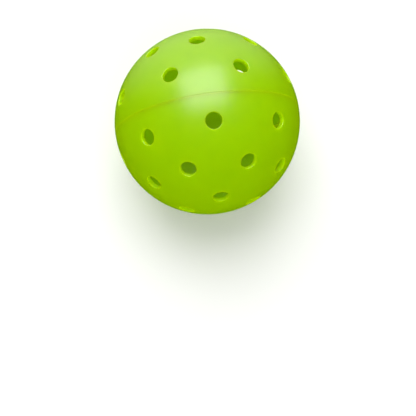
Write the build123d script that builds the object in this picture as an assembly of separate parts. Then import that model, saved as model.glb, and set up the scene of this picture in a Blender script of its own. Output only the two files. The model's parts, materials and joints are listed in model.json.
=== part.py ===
# A 40-hole pickleball: two moulded half shells, joined by a tongue-and-groove weld with its bead inside.
# Its centre is the origin. The axis through its two poles is Y, and the seam lies in the XZ plane.
import os
from math import cos, radians, sin, sqrt

from build123d import *

# The hollow ball
ball_diameter = 74.0
wall = 1.9

# The air holes of one half: a crown round its pole, a middle row in pairs, and a belt near the seam
hole_diameter = 6.3
outer_rim_radius = 0.2
inner_rim_radius = 0.1
crown_count = 4
crown_latitude = 69.0
middle_latitude = 42.3
middle_spread = 24.85  # a middle hole stands this many degrees to either side of each crown hole
belt_count = 8
belt_latitude = 16.4
rear_turn = 22.5  # the rear half is welded on turned by half a step of the belt

# The seam: the rear half's tongue sits in the front half's groove, and a fine notch shows outside
tongue_thickness = 0.7
tongue_height = 0.9
tongue_clearance = 0.05
seam_notch = 0.05

# The bead of plastic pressed out of the seam, inside the ball
bead_width = 1.8
bead_height = 0.5

outer_radius = ball_diameter / 2
inner_radius = outer_radius - wall
wall_middle = outer_radius - wall / 2
hole_radius = hole_diameter / 2
clear_spin = 36.0  # no hole crosses this meridian of its half, so the turned faces start and end there
same = 0.001  # lengths closer than this are the same length

FRONT, REAR = -1, 1  # which way along Y each half bulges


def turned(profile):
    return revolve(profile, axis=Axis.Y)


def block(width, low, high):
    # a rectangle across the middle of the wall, between two heights along Y
    return Location((wall_middle, (low + high) / 2)) * Rectangle(width, high - low)


def wall_profile(side):
    # one half's wall, cut through its pole, with its outer corner at the seam notched
    whole = Circle(outer_radius) - Circle(inner_radius)
    quarter = Location((outer_radius / 2, side * outer_radius / 2)) * Rectangle(outer_radius, outer_radius)
    notch = Location((outer_radius, 0), 45) * Rectangle(seam_notch * sqrt(2), seam_notch * sqrt(2))
    return (whole & quarter) - notch


def hole_places():
    # latitude and spin of each hole of one half, in degrees: spin runs from +Z towards +X
    for crown in range(crown_count):
        crown_spin = crown * 360 / crown_count
        yield crown_latitude, crown_spin
        yield middle_latitude, crown_spin - middle_spread
        yield middle_latitude, crown_spin + middle_spread
    for belt in range(belt_count):
        yield belt_latitude, belt * 360 / belt_count


def outward(side, latitude, spin):
    # the direction from the centre to a place on one half
    across = cos(radians(latitude))
    along = side * sin(radians(latitude))
    return Vector(across * sin(radians(spin)), along, across * cos(radians(spin)))


def rims(shell, skin_radius):
    # the edges where the bores meet the outer skin or the inner one
    depth = sqrt(skin_radius**2 - hole_radius**2)
    circles = [edge for edge in shell.edges().filter_by(GeomType.CIRCLE) if abs(edge.radius - hole_radius) < same]
    return [edge for edge in circles if abs(edge.arc_center.length - depth) < same]


def half_shell(side, profile, turn):
    # one half ball with its air holes, each bored straight at the centre and rounded at both rims
    shell = Rot(0, turn + clear_spin - 90, 0) * turned(profile)
    bore = Cylinder(hole_radius, outer_radius + wall, align=(Align.CENTER, Align.CENTER, Align.MIN))
    for latitude, spin in hole_places():
        shell -= Plane(origin=(0, 0, 0), z_dir=outward(side, latitude, spin + turn)) * bore
    shell = fillet(rims(shell, outer_radius), outer_rim_radius)
    return fillet(rims(shell, inner_radius), inner_rim_radius)


def front_half_shell():
    groove_width = tongue_thickness + 2 * tongue_clearance
    groove = block(groove_width, -tongue_height - tongue_clearance, tongue_height)
    return half_shell(FRONT, wall_profile(FRONT) - groove, 0)


def rear_half_shell():
    tongue = block(tongue_thickness, -tongue_height, tongue_height)
    return half_shell(REAR, wall_profile(REAR) + tongue, rear_turn)


def weld_bead():
    # a ring that lies against the inside of both halves, with a round crest
    edge = sqrt(inner_radius**2 - (bead_width / 2) ** 2)
    back = ThreePointArc((edge, -bead_width / 2), (inner_radius, 0), (edge, bead_width / 2))
    crest = ThreePointArc((edge, bead_width / 2), (inner_radius - bead_height, 0), (edge, -bead_width / 2))
    return turned(make_face(back + crest))


os.makedirs("parts", exist_ok=True)
for make in (front_half_shell, rear_half_shell, weld_bead):
    piece = make()
    export_step(piece, f"parts/{make.__name__}.step")
    print(make.__name__, round(piece.volume, 1), "mm3")
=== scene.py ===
# A 40-hole pickleball: two moulded halves in lime polyethylene and the weld between them.
import json
from math import asin, atan2, cos, pi, radians, sin, sqrt

import bpy
import numpy as np
from mathutils import Matrix, Vector


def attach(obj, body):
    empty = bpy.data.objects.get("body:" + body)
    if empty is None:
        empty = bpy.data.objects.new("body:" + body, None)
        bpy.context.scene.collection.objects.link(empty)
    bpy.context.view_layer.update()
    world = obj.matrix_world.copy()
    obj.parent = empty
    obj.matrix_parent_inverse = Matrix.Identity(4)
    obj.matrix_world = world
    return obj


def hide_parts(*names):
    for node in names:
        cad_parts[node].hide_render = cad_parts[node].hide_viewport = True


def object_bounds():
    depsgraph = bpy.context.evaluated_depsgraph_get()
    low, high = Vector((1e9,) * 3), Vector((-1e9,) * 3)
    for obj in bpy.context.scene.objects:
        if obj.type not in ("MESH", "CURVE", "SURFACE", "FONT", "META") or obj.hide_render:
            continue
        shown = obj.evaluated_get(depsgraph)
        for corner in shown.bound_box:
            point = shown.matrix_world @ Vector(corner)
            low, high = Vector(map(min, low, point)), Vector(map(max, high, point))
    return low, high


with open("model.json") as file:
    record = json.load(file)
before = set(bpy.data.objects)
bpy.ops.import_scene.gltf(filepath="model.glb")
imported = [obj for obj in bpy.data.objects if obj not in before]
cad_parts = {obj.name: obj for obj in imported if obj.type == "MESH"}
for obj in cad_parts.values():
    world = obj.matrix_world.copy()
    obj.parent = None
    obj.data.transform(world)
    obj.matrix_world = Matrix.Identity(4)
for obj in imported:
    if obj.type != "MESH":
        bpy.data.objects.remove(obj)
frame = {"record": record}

mm = 0.001
mergeDistance = 0.004 * mm
cadLow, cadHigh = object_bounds()
mounts = {mount["name"]: mount for mount in frame["record"]["mounts"]}
bore = mounts["tether_hole"]["dims"]
front, rear = -1, 1          # which way along Y each half bulges


def deselectAll():
    if bpy.context.object and bpy.context.object.mode != "OBJECT":
        bpy.ops.object.mode_set(mode="OBJECT")
    bpy.ops.object.select_all(action="DESELECT")


def makeActive(piece):
    deselectAll()
    piece.select_set(True)
    bpy.context.view_layer.objects.active = piece


def pick(piece, kind, wanted):
    # selects only these edges or faces, and goes into edit mode
    makeActive(piece)
    bpy.ops.object.mode_set(mode="EDIT")
    bpy.ops.mesh.select_mode(type=kind)
    bpy.ops.mesh.select_all(action="DESELECT")
    bpy.ops.object.mode_set(mode="OBJECT")
    layer = {"EDGE": piece.data.edges, "FACE": piece.data.polygons}[kind]
    layer.foreach_set("select", wanted)
    bpy.ops.object.mode_set(mode="EDIT")


def vertexPlaces(piece):
    places = np.empty(len(piece.data.vertices) * 3)
    piece.data.vertices.foreach_get("co", places)
    return places.reshape(-1, 3)


def faceMiddles(piece):
    middles = np.empty(len(piece.data.polygons) * 3)
    piece.data.polygons.foreach_get("center", middles)
    return middles.reshape(-1, 3)


def openEdges(piece):
    # the middle of each edge, and whether it has a face on one side only
    makeActive(piece)
    ends = np.empty(len(piece.data.edges) * 2, dtype=int)
    piece.data.edges.foreach_get("vertices", ends)
    used = np.empty(len(piece.data.loops), dtype=int)
    piece.data.loops.foreach_get("edge_index", used)
    middles = vertexPlaces(piece)[ends.reshape(-1, 2)].mean(axis=1)
    return middles, np.bincount(used, minlength=len(piece.data.edges)) == 1


def copyOf(piece):
    twin = piece.copy()
    twin.data = piece.data.copy()
    bpy.context.collection.objects.link(twin)
    return twin


def join(name, pieces):
    makeActive(pieces[0])
    for piece in pieces:
        piece.select_set(True)
    bpy.ops.object.join()
    pieces[0].name = name
    return pieces[0]


def extrudeRound(outline, axis):
    # draws the open loop in edit mode from ring to ring of (distance from the axis, place along it)
    along = np.array(axis)
    for (across, place), (nextAcross, nextPlace) in zip(outline, outline[1:]):
        bpy.ops.mesh.extrude_region_move(TRANSFORM_OT_translate={"value": tuple(along * (nextPlace - place))})
        scale = nextAcross / across
        bpy.ops.transform.resize(value=tuple(scale + along * (1 - scale)), center_override=(0, 0, 0))


def finishMesh(piece, sharpAngle):
    bpy.ops.mesh.select_all(action="SELECT")
    bpy.ops.mesh.remove_doubles(threshold=mergeDistance)
    bpy.ops.mesh.normals_make_consistent(inside=False)
    bpy.ops.object.mode_set(mode="OBJECT")
    bpy.ops.object.shade_smooth_by_angle(angle=radians(sharpAngle))
    return piece


ball = {
    "radius": (cadHigh.y - cadLow.y) / 2,
    "wall": bore["length_mm"] * mm,
    "cuts": 63,              # odd, so that an edge loop lies on the seam
}
ball["inside"] = ball["radius"] - ball["wall"]
ball["middle"] = (ball["radius"] + ball["inside"]) / 2

holes = {
    "radius": bore["r_mm"] * mm,
    "outerRim": 0.2 * mm,    # how round the moulded edges are
    "innerRim": 0.1 * mm,
    "collar": 5.0 * mm,      # a hole's own ring of faces reaches this far from its middle
    "cleared": 1.12,         # the skin is taken away a little past the collar, to leave room to bridge
    "segments": 64,
    "rimSteps": 6,
    "support": 0.06 * mm,    # loops this close to a rim keep its shading tight
    "crowns": 4,
    "crownLatitude": 69.0,
    "middleLatitude": 42.3,
    "middleSpread": 24.85,
    "belts": 8,
    "beltLatitude": 16.4,
    "rearTurn": 22.5,
}


def direction(side, latitude, spin):
    across = cos(radians(latitude))
    return Vector((across * sin(radians(spin)), side * sin(radians(latitude)), across * cos(radians(spin))))


def holeDirections(side, turn):
    for crown in range(holes["crowns"]):
        spin = 360 / holes["crowns"] * crown + turn
        yield direction(side, holes["crownLatitude"], spin)
        yield direction(side, holes["middleLatitude"], spin - holes["middleSpread"])
        yield direction(side, holes["middleLatitude"], spin + holes["middleSpread"])
    for belt in range(holes["belts"]):
        yield direction(side, holes["beltLatitude"], 360 / holes["belts"] * belt + turn)


def rimArc(sphere, rim, way):
    # a quarter turn or so between a skin and the bore
    across = holes["radius"] + rim
    height = sqrt((sphere - way * rim) ** 2 - across ** 2)
    lean = atan2(height, across)
    start, end = (lean, pi) if way > 0 else (pi, pi + lean)
    turns = np.linspace(start, end, holes["rimSteps"] + 1)
    return [(across + rim * cos(turn), height + rim * sin(turn)) for turn in turns]


def onSphere(sphere, across):
    return across, sqrt(sphere ** 2 - across ** 2)


def collarOutline():
    # distance from the hole's axis and height: in over the outer rim, down the bore, out over the inner rim
    outer = rimArc(ball["radius"], holes["outerRim"], 1)
    inner = rimArc(ball["inside"], holes["innerRim"], -1)
    support = holes["support"]
    points = [onSphere(ball["radius"], holes["collar"]), onSphere(ball["radius"], outer[0][0] + support)]
    points += outer
    points += [(holes["radius"], outer[-1][1] - support), (holes["radius"], inner[0][1] + support)]
    points += inner
    points += [onSphere(ball["inside"], inner[-1][0] + support), onSphere(ball["inside"], holes["collar"])]
    return points


def addCollar():
    # the surround of one hole, standing on the Z axis: a circle extruded and scaled ring by ring
    deselectAll()
    outline = collarOutline()
    across, height = outline[0]
    bpy.ops.mesh.primitive_circle_add(vertices=holes["segments"], radius=across, location=(0, 0, height))
    collar = bpy.context.object
    bpy.ops.object.transform_apply(location=True)
    bpy.ops.object.mode_set(mode="EDIT")
    bpy.ops.mesh.select_all(action="SELECT")
    extrudeRound(outline, (0, 0, 1))
    bpy.ops.object.mode_set(mode="OBJECT")
    return collar


def addSkin(radius, side, centres):
    # half a sphere of even faces, with those round each hole taken out
    deselectAll()
    bpy.ops.mesh.primitive_cube_add(size=2 * radius)
    skin = bpy.context.object
    bpy.ops.object.mode_set(mode="EDIT")
    bpy.ops.mesh.select_all(action="SELECT")
    bpy.ops.mesh.subdivide(number_cuts=ball["cuts"])
    bpy.ops.object.mode_set(mode="OBJECT")
    cast = skin.modifiers.new("round", "CAST")
    cast.factor = 1
    cast.use_radius_as_size = False
    cast.size = radius
    bpy.ops.object.modifier_apply(modifier=cast.name)
    middles = faceMiddles(skin)
    cleared = radius * cos(asin(holes["cleared"] * holes["collar"] / radius))
    nearHole = (middles @ np.array(centres).T).max(axis=1) > cleared
    pick(skin, "FACE", nearHole | (middles[:, 1] * side < 0))
    bpy.ops.mesh.delete(type="FACE")
    bpy.ops.object.mode_set(mode="OBJECT")
    return skin


seam = {
    "notch": 0.05 * mm,
    "tongue": 0.7 * mm,
    "height": 0.9 * mm,
    "gap": 0.05 * mm,
    "parting": 0.02 * mm,    # keeps the two halves' faces from lying in each other
    "reach": 1 * mm,         # no open edge of a hole lies this close to the seam
    "sharpAngle": 30,
}


def seamOutline(side):
    # distance from the ball's Y axis and place along it, from the outer corner in to the inner one
    slack = seam["gap"] if side == front else 0
    far = ball["middle"] + seam["tongue"] / 2 + slack
    near = ball["middle"] - seam["tongue"] / 2 - slack
    reach = -seam["height"] - slack
    notch = seam["notch"]
    face = side * seam["parting"]
    return [
        (sqrt(ball["radius"] ** 2 - notch ** 2), side * notch),
        (ball["radius"] - notch, face),
        (far, face),
        (far, reach),
        (near, reach),
        (near, face),
        (ball["inside"], face),
    ]


def addHalf(name, side, turn, collar):
    centres = list(holeDirections(side, turn))
    outer = addSkin(ball["radius"], side, centres)
    inner = addSkin(ball["inside"], side, centres)
    collars = [copyOf(collar) for _ in centres]
    for ring, centre in zip(collars, centres):
        ring.matrix_world = centre.to_track_quat("Z", "Y").to_matrix().to_4x4()
    deselectAll()
    for ring in collars:
        ring.select_set(True)
    bpy.context.view_layer.objects.active = collars[0]
    bpy.ops.object.transform_apply(rotation=True)
    half = join(name, [outer, inner] + collars)

    # close the gap between each skin and its collars
    for low, high in ((0, ball["middle"]), (ball["middle"], 2 * ball["radius"])):
        middles, isOpen = openEdges(half)
        reach = np.linalg.norm(middles, axis=1)
        pick(half, "EDGE", isOpen & (reach > low) & (reach < high) & (abs(middles[:, 1]) > seam["reach"]))
        bpy.ops.mesh.bridge_edge_loops(type="PAIRS")

    # the rim of the half, drawn in step by step from the outer skin to the inner
    middles, isOpen = openEdges(half)
    pick(half, "EDGE", isOpen & (np.linalg.norm(middles, axis=1) > ball["middle"]))
    outline = seamOutline(side)
    scale = outline[0][0] / ball["radius"]
    bpy.ops.transform.resize(value=(scale, 1, scale), center_override=(0, 0, 0))
    bpy.ops.transform.translate(value=(0, outline[0][1], 0))
    extrudeRound(outline, (0, 1, 0))
    return finishMesh(half, seam["sharpAngle"])


bead = {
    "width": 1.8 * mm,
    "height": 0.5 * mm,
    "segments": 256,
    "steps": 10,
    "sharpAngle": 40,
}


def addBead():
    # the ring of plastic inside the seam: its section is drawn round from circle to circle, back to the first
    half = bead["width"] / 2
    edge = sqrt(ball["inside"] ** 2 - half ** 2)
    rise = edge - (ball["inside"] - bead["height"])
    crestRadius = (half ** 2 + rise ** 2) / (2 * rise)
    section = []
    for along in np.linspace(-half, half, bead["steps"]):
        section.append((sqrt(ball["inside"] ** 2 - along ** 2), along))
    for along in np.linspace(half, -half, bead["steps"])[1:]:
        section.append((edge - rise + crestRadius - sqrt(crestRadius ** 2 - along ** 2), along))
    deselectAll()
    across, along = section[0]
    bpy.ops.mesh.primitive_circle_add(vertices=bead["segments"], radius=across, rotation=(radians(90), 0, 0))
    ring = bpy.context.object
    ring.name = "weldBead"
    ring.location.y = along
    bpy.ops.object.transform_apply(location=True, rotation=True)
    bpy.ops.object.mode_set(mode="EDIT")
    bpy.ops.mesh.select_all(action="SELECT")
    extrudeRound(section, (0, 1, 0))
    return finishMesh(ring, bead["sharpAngle"])


def linear(colour):
    # an sRGB hex colour as the linear one that shaders take
    parts = [int(colour[k:k + 2], 16) / 255 for k in (1, 3, 5)]
    return [part / 12.92 if part <= 0.04045 else ((part + 0.055) / 1.055) ** 2.4 for part in parts] + [1]


def addNode(tree, kind, inputs={}, **settings):
    # an input is a value, a socket, or a node whose first output in use feeds it
    made = tree.nodes.new("ShaderNode" + kind)
    for name, value in settings.items():
        setattr(made, name, value)
    for name, value in inputs.items():
        socket = next(each for each in made.inputs if each.name == name and each.enabled)
        if isinstance(value, bpy.types.Node):
            value = next(each for each in value.outputs if each.enabled)
        if isinstance(value, bpy.types.NodeSocket):
            tree.links.new(value, socket)
        else:
            socket.default_value = value
    return made


# Injection-moulded polyethylene: waxy and a little see-through, with a soft wide gloss.
polyethylene = {
    "colour": "#99cc00",
    "cloudColour": "#92c600",
    "pitShadeColour": "#7da800",
    "ior": 1.51,
    "shine": 1.0,                # 0.5 would be bare polyethylene, and this reflects twice as much
    "roughness": (0.29, 0.34),
    "glow": 1.0,                 # share of the light that goes in and comes out again nearby
    "glowDepth": 6.0 * mm,
    "glowRadius": (1.0, 1.0, 0.3),       # how much of that depth red, green and blue light reach
    "dayglow": (0.1, 0.24),      # painted light: a glow over the skin that lifts the shade inside the holes, and a stronger one out of a cut edge
    "paintedGlowColour": "#b8cc00",
    "paintedGlowEdge": (0.1, 0.8),   # where it turns: 0 is a face square to the skin, and 1 one along it
    "seamReach": 1.1 * mm,       # near the seam the painted glow makes up for the light lost between the two halves
    "seamShare": 0.25,           # what the skin right at the seam counts as, from 0 to 1 as above
    "cloudSize": 9 * mm,         # slow drift of shade over the wall
    "cloudDetail": 3.0,
    "glossDetail": 4.0,
    "peelSize": 0.9 * mm,        # the mould's faint orange peel
    "peelHeight": 0.006 * mm,
    "peelDetail": 2.0,
    "waveSize": 7 * mm,          # sink and flow of the wall
    "waveHeight": 0.03 * mm,
    "waveDetail": 1.0,
    # painted shade: darker specks stand in for tiny pits in the moulded skin
    "speckSpacing": 8 * mm,
    "speckSize": 0.15 * mm,
    "speckCore": 0.5,            # share of a speck's size that has its full colour
    "noiseSpan": (0.3, 0.7),     # where most of a noise's values lie
}
remelted = {**polyethylene, "roughness": (0.2, 0.24)}       # the bead is a little smoother


def makePolyethylene(name, look):
    material = bpy.data.materials.new(name)
    material.use_nodes = True
    tree = material.node_tree
    shader = tree.nodes["Principled BSDF"]
    coordinates = addNode(tree, "TexCoord")
    place = coordinates.outputs["Object"]

    clouds = addNode(tree, "TexNoise", {
        "Vector": place,
        "Scale": 1 / look["cloudSize"],
        "Detail": look["cloudDetail"],
    })
    tint = addNode(tree, "Mix", {
        "Factor": clouds,
        "A": linear(look["colour"]),
        "B": linear(look["cloudColour"]),
    }, data_type="RGBA")
    # painted shade: darker specks where tiny pits in the skin would lie in shade
    scatter = addNode(tree, "TexVoronoi", {"Vector": place, "Scale": 1 / look["speckSpacing"]})
    speck = addNode(tree, "MapRange", {
        "Value": scatter,
        "From Min": look["speckCore"] * look["speckSize"] / look["speckSpacing"],
        "From Max": look["speckSize"] / look["speckSpacing"],
        "To Min": 1.0,
        "To Max": 0.0,
    })
    colour = addNode(tree, "Mix", {
        "Factor": speck,
        "A": tint,
        "B": linear(look["pitShadeColour"]),
    }, data_type="RGBA")

    low, high = look["roughness"]
    least, most = look["noiseSpan"]
    gloss = addNode(tree, "TexNoise", {
        "Vector": place,
        "Scale": 1 / look["waveSize"],
        "Detail": look["glossDetail"],
    })
    rough = addNode(tree, "MapRange", {
        "Value": gloss,
        "From Min": least,
        "From Max": most,
        "To Min": low,
        "To Max": high,
    })

    wave = addNode(tree, "TexNoise", {
        "Vector": place,
        "Scale": 1 / look["waveSize"],
        "Detail": look["waveDetail"],
    })
    bent = addNode(tree, "Bump", {"Height": wave, "Strength": 1.0, "Distance": look["waveHeight"]})
    peel = addNode(tree, "TexNoise", {
        "Vector": place,
        "Scale": 1 / look["peelSize"],
        "Detail": look["peelDetail"],
    })
    skin = addNode(tree, "Bump", {
        "Height": peel,
        "Strength": 1.0,
        "Distance": look["peelHeight"],
        "Normal": bent,
    })

    # painted light: an emission stands in for light carried through the translucent wall, coming out
    # strongest where the wall is cut across
    outward = addNode(tree, "VectorMath", {"Vector": place}, operation="NORMALIZE")
    facing = addNode(tree, "VectorMath", operation="DOT_PRODUCT")
    tree.links.new(outward.outputs["Vector"], facing.inputs[0])
    tree.links.new(coordinates.outputs["Normal"], facing.inputs[1])
    alongWall = addNode(tree, "Math", {"Value": facing}, operation="ABSOLUTE")
    height = addNode(tree, "SeparateXYZ", {"Vector": place}).outputs["Y"]
    fromSeam = addNode(tree, "MapRange", {
        "Value": addNode(tree, "Math", {"Value": height}, operation="ABSOLUTE"),
        "From Max": look["seamReach"],
        "To Min": look["seamShare"],
    })
    edge = addNode(tree, "Math", {"Value": alongWall}, operation="MINIMUM")
    tree.links.new(fromSeam.outputs["Result"], edge.inputs[1])
    skinGlow, edgeGlow = look["dayglow"]
    edgeStart, skinStart = look["paintedGlowEdge"]
    dayglow = addNode(tree, "MapRange", {
        "Value": edge,
        "From Min": edgeStart,
        "From Max": skinStart,
        "To Min": edgeGlow,
        "To Max": skinGlow,
    })

    shader.inputs["IOR"].default_value = look["ior"]
    shader.inputs["Specular IOR Level"].default_value = look["shine"]
    # painted glow: the plastic is given emission, though it is no lamp
    shader.inputs["Emission Color"].default_value = linear(look["paintedGlowColour"])
    shader.inputs["Subsurface Weight"].default_value = look["glow"]
    shader.inputs["Subsurface Radius"].default_value = look["glowRadius"]
    shader.inputs["Subsurface Scale"].default_value = look["glowDepth"]
    tree.links.new(next(each for each in colour.outputs if each.enabled), shader.inputs["Base Color"])
    tree.links.new(rough.outputs["Result"], shader.inputs["Roughness"])
    tree.links.new(dayglow.outputs["Result"], shader.inputs["Emission Strength"])
    tree.links.new(skin.outputs["Normal"], shader.inputs["Normal"])
    return material


def finishPiece(piece, material, node):
    piece.data.materials.clear()
    piece.data.materials.append(material)
    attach(piece, "root")
    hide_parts(node)


# The paper floor is softly backlit, and the pale backdrop stands round it.
paper = {
    "floorColour": "#f2f2f0",
    "floorGlow": (0.08, 0.5),    # near the ball, and out at the backdrop
    "glowStart": 0.3,            # how far from the ball it begins to rise
    "backdropBase": "#000000",   # black, so that all it shows is its own glow
    "backdropColour": "#fdfdfc",
    "backdropAway": 3.0,
    "backdropRings": 32,
    "roughness": 0.9,
}


def makePaper(name, colour, glowColour):
    material = bpy.data.materials.new(name)
    material.use_nodes = True
    shader = material.node_tree.nodes["Principled BSDF"]
    shader.inputs["Base Color"].default_value = linear(colour)
    shader.inputs["Roughness"].default_value = paper["roughness"]
    shader.inputs["Emission Color"].default_value = linear(glowColour)
    shader.inputs["Emission Strength"].default_value = 1.0
    return material


def makeFloor():
    deselectAll()
    bpy.ops.mesh.primitive_plane_add(size=2 * paper["backdropAway"], location=(0, 0, cadLow.z))
    floor = bpy.context.object
    floor.name = "floor"
    material = makePaper("mattePaper", paper["floorColour"], paper["floorColour"])
    tree = material.node_tree
    place = addNode(tree, "TexCoord").outputs["Object"]
    fromBall = addNode(tree, "VectorMath", {"Vector": place}, operation="LENGTH")
    near, far = paper["floorGlow"]
    glow = addNode(tree, "MapRange", {
        "Value": fromBall.outputs["Value"],
        "From Min": paper["glowStart"],
        "From Max": paper["backdropAway"],
        "To Min": near,
        "To Max": far,
    })
    tree.links.new(glow.outputs["Result"], tree.nodes["Principled BSDF"].inputs["Emission Strength"])
    floor.data.materials.append(material)
    floor.visible_glossy = False        # the ball's gloss shows the studio, not the paper it stands on


def makeBackdrop():
    # only there to be seen behind the ball: it neither lights nor shades it
    deselectAll()
    rings = paper["backdropRings"]
    bpy.ops.mesh.primitive_uv_sphere_add(segments=2 * rings, ring_count=rings, radius=paper["backdropAway"])
    backdrop = bpy.context.object
    backdrop.name = "backdrop"
    backdrop.data.materials.append(makePaper("paleBackdrop", paper["backdropBase"], paper["backdropColour"]))
    backdrop.visible_diffuse = False
    backdrop.visible_glossy = False
    backdrop.visible_transmission = False
    backdrop.visible_shadow = False


camera = {
    "back": Vector((-0.0683, -0.2873, 0.9554)),         # from the ball to the lens
    "up": Vector((0.1291, 0.947, 0.294)),
    "away": 13.4 * ball["radius"],
    "lens": 107.0,
    "nearest": 0.01,
    "ballAbove": 34.5 * mm,      # how far above the middle of the frame the ball sits
    "ballLeft": 0.3 * mm,
}


def makeCamera():
    back = camera["back"].normalized()
    right = camera["up"].cross(back).normalized()
    up = back.cross(right)
    place = back * camera["away"]
    aim = right * camera["ballLeft"] - up * camera["ballAbove"]
    away = (place - aim).normalized()
    across = up.cross(away).normalized()
    turn = Matrix((across, away.cross(across), away)).transposed()
    bpy.ops.object.camera_add(location=place, rotation=turn.to_euler())
    lens = bpy.context.object
    lens.data.lens = camera["lens"]
    lens.data.clip_start = camera["nearest"]
    bpy.context.scene.camera = lens


# Each light: which way it lies from the ball, how far, its size and its power.
softbox = {
    "place": Vector((-0.03, 0.454, 0.898)),
    "away": 3.0,
    "size": 2.8,
    "power": 74.0,
}
lowFill = {
    "place": Vector((0.05, -0.8, 0.6)),
    "away": 4.0,
    "size": 4.5,
    "power": 36.0,
}
wideFill = {
    "place": camera["back"],
    "away": 4.0,
    "size": 10.0,
    "power": 240.0,
}
room = {
    "colour": "#ffffff",
    "brightness": (0.0, 0.75),   # what the gloss shows, low down and over the ball's rear pole
    "heights": (0.5, 0.95),      # where along Y the one turns into the other
}


def addSoftLight(name, look):
    towards = look["place"].normalized()
    facing = towards.to_track_quat("Z", "Y").to_euler()
    bpy.ops.object.light_add(type="AREA", location=towards * look["away"], rotation=facing)
    light = bpy.context.object
    light.name = name
    light.data.shape = "SQUARE"
    light.data.size = look["size"]
    light.data.energy = look["power"]
    light.visible_camera = False
    return light


def makeRoom():
    world = bpy.data.worlds.new("paleRoom")
    world.use_nodes = True
    tree = world.node_tree
    way = addNode(tree, "SeparateXYZ", {"Vector": addNode(tree, "TexCoord").outputs["Generated"]})
    dim, bright = room["brightness"]
    low, high = room["heights"]
    shade = addNode(tree, "MapRange", {
        "Value": way.outputs["Y"],
        "From Min": low,
        "From Max": high,
        "To Min": dim,
        "To Max": bright,
    })
    tree.links.new(shade.outputs["Result"], tree.nodes["Background"].inputs["Strength"])
    tree.nodes["Background"].inputs["Color"].default_value = linear(room["colour"])
    bpy.context.scene.world = world


def makeLights():
    makeRoom()
    addSoftLight("softbox", softbox)
    addSoftLight("lowFill", lowFill).visible_glossy = False
    addSoftLight("wideFill", wideFill).visible_glossy = False


makeCamera()
makeLights()
makeFloor()
makeBackdrop()
bpy.context.scene.view_settings.view_transform = "Standard"     # keeps the lime as bright as it is
print("studio ready")

collar = addCollar()
frontShell = addHalf("frontShell", front, 0, collar)
rearShell = addHalf("rearShell", rear, holes["rearTurn"], collar)
bpy.data.objects.remove(collar)
print("half shells moulded")

weldBead = addBead()
print("seam welded")

shellPlastic = makePolyethylene("mouldedPolyethylene", polyethylene)
weldPlastic = makePolyethylene("remeltedPolyethylene", remelted)
finishPiece(frontShell, shellPlastic, "front_half_shell")
finishPiece(rearShell, shellPlastic, "rear_half_shell")
finishPiece(weldBead, weldPlastic, "weld_bead")
print("materials set")
